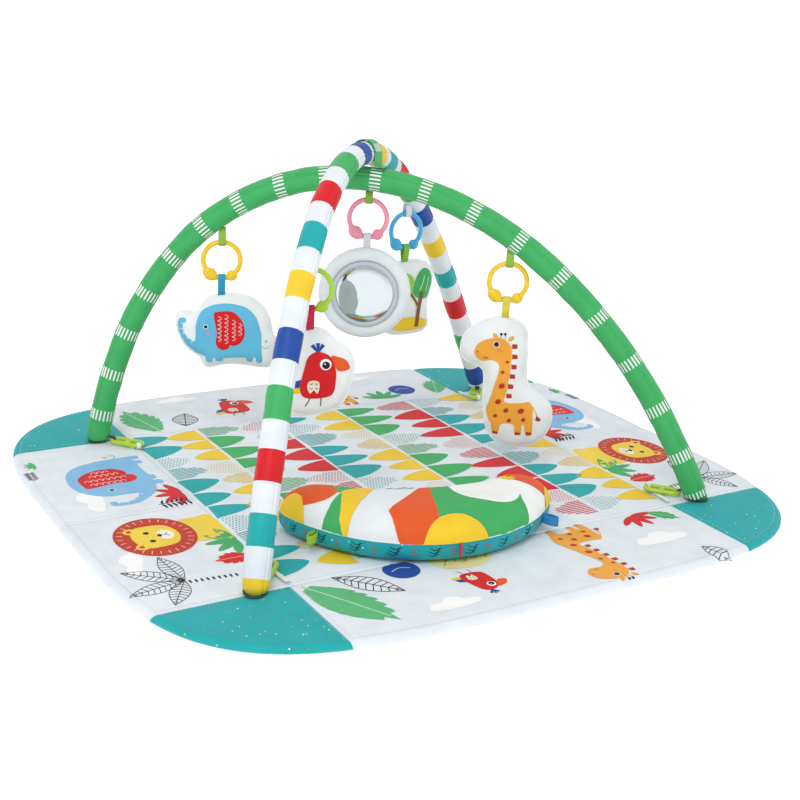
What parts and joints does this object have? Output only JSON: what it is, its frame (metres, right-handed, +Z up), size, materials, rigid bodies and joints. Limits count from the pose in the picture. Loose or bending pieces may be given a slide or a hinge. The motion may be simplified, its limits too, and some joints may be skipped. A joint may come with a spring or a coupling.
{
  "type": "activity play gym",
  "caption": "Padded play mat with crossed padded arches, toys and a mirror hanging on rings, and a crescent tummy pillow.",
  "frame": {"origin": "on the floor under the middle of the mat", "axes": "+Z up, +X along the mat's long side, +Y along its short side towards the back"},
  "size_m": [1.0396, 0.9298, 0.5088],
  "materials": {
    "mat_panel_fabric": "printed satin polyester over thin wadding",
    "corner_fabric": "teal printed polyester over thin wadding",
    "webbing_white": "flat polyester webbing",
    "green_sleeve_fabric": "satin polyester sleeve over foam",
    "striped_sleeve_fabric": "satin polyester sleeve over foam, printed with coloured bands",
    "rod_fibreglass": "smooth pultruded rod",
    "ferrule_metal": "plain tube",
    "cap_plastic": "moulded",
    "strap_fabric": "satin strap with white stitches",
    "ribbon_green": "satin ribbon",
    "ribbon_blue": "satin ribbon",
    "ribbon_crimson": "satin ribbon",
    "ribbon_yellow": "satin ribbon",
    "ribbon_pale": "satin ribbon",
    "ring_yellow": "moulded, satin gloss",
    "ring_pink": "moulded, satin gloss",
    "ring_blue": "moulded, satin gloss",
    "ring_lime": "moulded, satin gloss",
    "link_lime": "moulded, satin gloss",
    "toy_fabric": "printed polyester, stuffed",
    "mirror_frame_fabric": "pale grey polyester, padded",
    "mirror_sheet": "soft acrylic safety mirror",
    "pillow_fabric": "printed polyester, stuffed"
  },
  "bodies": {
    "mat": {"mat_centre_panel": "mat_panel_fabric", "mat_panel_front": "mat_panel_fabric", "mat_panel_back": "mat_panel_fabric", "mat_panel_left_front": "mat_panel_fabric", "mat_panel_left_back": "mat_panel_fabric", "mat_panel_right_front": "mat_panel_fabric", "mat_panel_right_back": "mat_panel_fabric", "corner_patch_left_front": "corner_fabric", "corner_patch_left_back": "corner_fabric", "corner_patch_right_front": "corner_fabric", "corner_patch_right_back": "corner_fabric", "anchor_web_left": "webbing_white", "anchor_web_right": "webbing_white", "anchor_web_front": "webbing_white", "anchor_web_back": "webbing_white"},
    "green_arch": {"green_arch_sleeve": "green_sleeve_fabric", "green_arch_rod_near": "rod_fibreglass", "green_arch_rod_far": "rod_fibreglass", "green_arch_ferrule": "ferrule_metal", "green_arch_foot_cap_near": "cap_plastic", "green_arch_foot_cap_far": "cap_plastic", "keeper_strap": "strap_fabric", "elephant_arch_ribbon": "ribbon_green", "mirror_arch_ribbon": "ribbon_green", "giraffe_arch_ribbon": "ribbon_green"},
    "striped_arch": {"striped_arch_sleeve": "striped_sleeve_fabric", "striped_arch_rod_near": "rod_fibreglass", "striped_arch_rod_far": "rod_fibreglass", "striped_arch_ferrule": "ferrule_metal", "striped_arch_foot_cap_near": "cap_plastic", "striped_arch_foot_cap_far": "cap_plastic", "parrot_arch_ribbon": "ribbon_blue", "tree_arch_ribbon": "ribbon_pale"},
    "elephant_ring_body": {"elephant_ring": "ring_yellow"},
    "mirror_ring_body": {"mirror_ring": "ring_pink"},
    "giraffe_ring_body": {"giraffe_ring": "ring_yellow"},
    "parrot_ring_body": {"parrot_ring": "ring_lime"},
    "tree_ring_body": {"tree_ring": "ring_blue"},
    "elephant_body": {"elephant_ribbon": "ribbon_blue", "elephant_toy": "toy_fabric"},
    "mirror_body": {"mirror_ribbon": "ribbon_pale", "mirror_frame": "mirror_frame_fabric", "mirror_disc": "mirror_sheet", "mirror_binding": "mirror_frame_fabric"},
    "giraffe_body": {"giraffe_ribbon": "ribbon_yellow", "giraffe_toy": "toy_fabric"},
    "parrot_body": {"parrot_ribbon": "ribbon_crimson", "parrot_toy": "toy_fabric"},
    "tree_body": {"tree_ribbon": "ribbon_green", "tree_toy": "toy_fabric"},
    "link_left_body": {"link_left": "link_lime"},
    "link_right_body": {"link_right": "link_lime"},
    "link_front_body": {"link_front": "link_lime"},
    "link_back_body": {"link_back": "link_lime"},
    "pillow_body": {"pillow": "pillow_fabric", "pillow_tag_lime": "ribbon_green", "pillow_tag_red": "ribbon_crimson", "pillow_tag_blue": "ribbon_blue"}
  },
  "joints": [
    {"name": "green_arch_lift", "type": "slide", "parent": "mat", "child": "green_arch", "axis": [0, 0, 1], "range_m": [0, 0.3]},
    {"name": "striped_arch_turn", "type": "hinge", "parent": "green_arch", "child": "striped_arch", "pos_m": [-0.0292, 0.0683, 0.487], "axis": [0, 0, 1], "range_deg": [-8, 8]},
    {"name": "elephant_ring_swing", "type": "hinge", "parent": "green_arch", "child": "elephant_ring_body", "pos_m": [-0.2002, 0.1966, 0.34], "axis": [0.9272, -0.3746, 0], "range_deg": [-40, 40]},
    {"name": "mirror_ring_swing", "type": "hinge", "parent": "green_arch", "child": "mirror_ring_body", "pos_m": [-0.024, 0.0639, 0.4203], "axis": [0.866, -0.5, 0], "range_deg": [-20, 20]},
    {"name": "giraffe_ring_swing", "type": "hinge", "parent": "green_arch", "child": "giraffe_ring_body", "pos_m": [0.1414, -0.0742, 0.3425], "axis": [0.829, -0.5592, 0], "range_deg": [-40, 40]},
    {"name": "parrot_ring_swing", "type": "hinge", "parent": "striped_arch", "child": "parrot_ring_body", "pos_m": [-0.1896, -0.0755, 0.357], "axis": [0.8988, -0.4384, 0], "range_deg": [-10, 40]},
    {"name": "tree_ring_swing", "type": "hinge", "parent": "striped_arch", "child": "tree_ring_body", "pos_m": [0.1043, 0.1598, 0.3769], "axis": [1, 0, 0], "range_deg": [-40, 22]},
    {"name": "elephant_swing", "type": "hinge", "parent": "elephant_ring_body", "child": "elephant_body", "pos_m": [-0.2002, 0.1966, 0.284], "axis": [0.9272, -0.3746, 0], "range_deg": [-50, 50]},
    {"name": "mirror_swing", "type": "hinge", "parent": "mirror_ring_body", "child": "mirror_body", "pos_m": [-0.024, 0.0639, 0.3643], "axis": [0.866, -0.5, 0], "range_deg": [-30, 30]},
    {"name": "giraffe_swing", "type": "hinge", "parent": "giraffe_ring_body", "child": "giraffe_body", "pos_m": [0.1414, -0.0742, 0.2865], "axis": [0.829, -0.5592, 0], "range_deg": [-50, 50]},
    {"name": "parrot_swing", "type": "hinge", "parent": "parrot_ring_body", "child": "parrot_body", "pos_m": [-0.1896, -0.0755, 0.301], "axis": [0.8988, -0.4384, 0], "range_deg": [-30, 50]},
    {"name": "tree_swing", "type": "hinge", "parent": "tree_ring_body", "child": "tree_body", "pos_m": [0.1043, 0.1598, 0.3209], "axis": [1, 0, 0], "range_deg": [-50, 40]},
    {"name": "link_left_swivel", "type": "hinge", "parent": "mat", "child": "link_left_body", "pos_m": [-0.3224, 0.2384, 0.012], "axis": [0, 0, 1], "range_deg": [-15, 15]},
    {"name": "link_right_swivel", "type": "hinge", "parent": "mat", "child": "link_right_body", "pos_m": [0.3224, -0.2384, 0.012], "axis": [0, 0, 1], "range_deg": [-15, 15]},
    {"name": "link_front_swivel", "type": "hinge", "parent": "mat", "child": "link_front_body", "pos_m": [-0.3224, -0.2384, 0.012], "axis": [0, 0, 1], "range_deg": [-15, 15]},
    {"name": "link_back_swivel", "type": "hinge", "parent": "mat", "child": "link_back_body", "pos_m": [0.3224, 0.2384, 0.012], "axis": [0, 0, 1], "range_deg": [-15, 15]},
    {"name": "pillow_lift", "type": "slide", "parent": "mat", "child": "pillow_body", "axis": [0, 0, 1], "range_m": [0, 0.12]}
  ]
}
